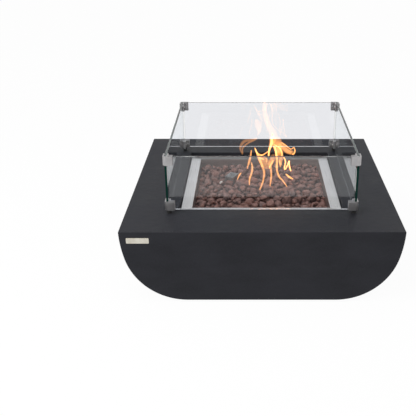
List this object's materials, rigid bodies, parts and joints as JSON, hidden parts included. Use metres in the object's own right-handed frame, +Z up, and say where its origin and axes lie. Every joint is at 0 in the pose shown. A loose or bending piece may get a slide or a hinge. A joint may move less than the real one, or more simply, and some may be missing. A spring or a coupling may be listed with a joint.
{
  "type": "fire pit table",
  "caption": "Low square gas fire pit table: a cast body with bellied sides, a steel pan of lava rock over a ring burner, rear gas controls and a lift-off glass wind guard.",
  "frame": {"origin": "on the floor, under the middle of the table top", "axes": "+Z up, -Y towards the front, +Y towards the control panel, +X to the right seen from the front"},
  "size_m": [1, 1, 0.5035],
  "materials": {
    "cast_body": "matte charcoal cast",
    "rubber": "matte black moulded",
    "pan_steel": "brushed",
    "burner_steel": "heat darkened",
    "line_steel": "satin",
    "brass": "machined",
    "copper": "drawn",
    "lava_rock": "rough reddish brown and grey",
    "cage_steel": "heat darkened",
    "probe_steel": "satin",
    "ceramic": "matte white",
    "lead_rubber": "satin red insulation",
    "panel_steel": "brushed",
    "screw_steel": "satin",
    "valve_aluminium": "die cast",
    "knob_plastic": "fine satin",
    "igniter_plastic": "moulded",
    "button_plastic": "gloss",
    "battery_case": "plain printed sleeve",
    "spring_steel": "drawn wire",
    "glass": "clear tempered, ground edges",
    "clip_nickel": "satin nickel plated casting"
  },
  "bodies": {
    "root": {"table_body": "cast_body", "foot_front_left": "rubber", "foot_front_right": "rubber", "foot_back_left": "rubber", "foot_back_right": "rubber", "burner_pan": "pan_steel", "burner_ring": "burner_steel", "burner_nipple": "burner_steel", "upper_locknut": "burner_steel", "lower_locknut": "burner_steel", "air_mixer": "brass", "orifice_elbow": "brass", "burner_gas_line": "line_steel", "lava_rock_bed": "lava_rock", "lava_rocks": "lava_rock", "igniter_cage": "cage_steel", "sensor_bracket": "cage_steel", "igniter_electrode": "ceramic", "electrode_pin": "burner_steel", "flame_probe": "probe_steel", "probe_tip": "ceramic", "igniter_lead": "lead_rubber", "probe_lead": "copper", "control_panel": "panel_steel", "panel_screws": "screw_steel", "gas_valve": "valve_aluminium", "valve_nut": "screw_steel", "valve_cap": "valve_aluminium", "igniter_barrel": "igniter_plastic", "igniter_nut": "igniter_plastic", "igniter_spring": "spring_steel", "igniter_battery": "battery_case", "gas_inlet": "brass", "inlet_nut": "brass", "supply_tube": "copper"},
    "wind_guard": {"glass_front": "glass", "glass_back": "glass", "glass_left": "glass", "glass_right": "glass", "lower_clip_front_left": "clip_nickel", "lower_clip_front_right": "clip_nickel", "lower_clip_back_left": "clip_nickel", "lower_clip_back_right": "clip_nickel", "upper_clip_front_left": "clip_nickel", "upper_clip_front_right": "clip_nickel", "upper_clip_back_left": "clip_nickel", "upper_clip_back_right": "clip_nickel", "guard_foot_front_left": "rubber", "guard_foot_front_right": "rubber", "guard_foot_back_left": "rubber", "guard_foot_back_right": "rubber", "clip_screws": "screw_steel"},
    "valve_plug": {"valve_plug": "brass", "stem_spring": "spring_steel"},
    "control_knob": {"control_knob": "knob_plastic", "valve_stem": "screw_steel"},
    "igniter_button": {"igniter_button": "button_plastic"}
  },
  "joints": [
    {"name": "guard_lift", "type": "slide", "parent": "root", "child": "wind_guard", "axis": [0, 0, 1], "range_m": [0, 0.25]},
    {"name": "knob_turn", "type": "hinge", "parent": "root", "child": "valve_plug", "pos_m": [0.068, 0.46, 0.1365], "axis": [0, 1, 0], "range_deg": [0, 180]},
    {"name": "knob_push", "type": "slide", "parent": "valve_plug", "child": "control_knob", "axis": [0, -1, 0], "range_m": [0, 0.005], "stiffness_N_per_m": 800, "deforming": ["stem_spring"]},
    {"name": "igniter_press", "type": "slide", "parent": "root", "child": "igniter_button", "axis": [0, -1, 0], "range_m": [0, 0.004], "stiffness_N_per_m": 600, "deforming": ["igniter_spring"]}
  ]
}
